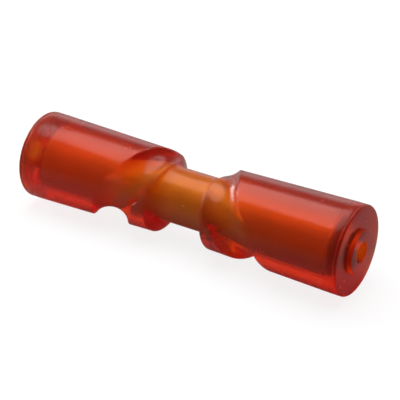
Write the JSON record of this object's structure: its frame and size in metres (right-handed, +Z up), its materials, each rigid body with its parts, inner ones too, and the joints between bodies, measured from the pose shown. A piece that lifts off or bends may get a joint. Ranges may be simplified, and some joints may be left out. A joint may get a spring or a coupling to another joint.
{
  "type": "boat trailer keel roller",
  "caption": "Self-centring keel roller for a boat trailer: two tapered halves with a V seat between them, mirrored guide grooves and a bore for a spindle.",
  "frame": {"origin": "middle of the spindle bore, half way along the roller", "axes": "+Y along the bore, which is the axis the roller turns about; +Z up as the roller is carried on its level spindle; the middle plane y = 0 is the mirror plane of the two halves"},
  "size_m": [0.075, 0.3096, 0.075],
  "materials": {
    "clear_polyurethane": "glossy, see-through, amber where thin and deep red where thick",
    "rigid_core": "satin tan, seen through the moulded body and in the bore"
  },
  "bodies": {
    "root": {"roller_body": "clear_polyurethane", "core_tube": "rigid_core"}
  },
  "joints": []
}
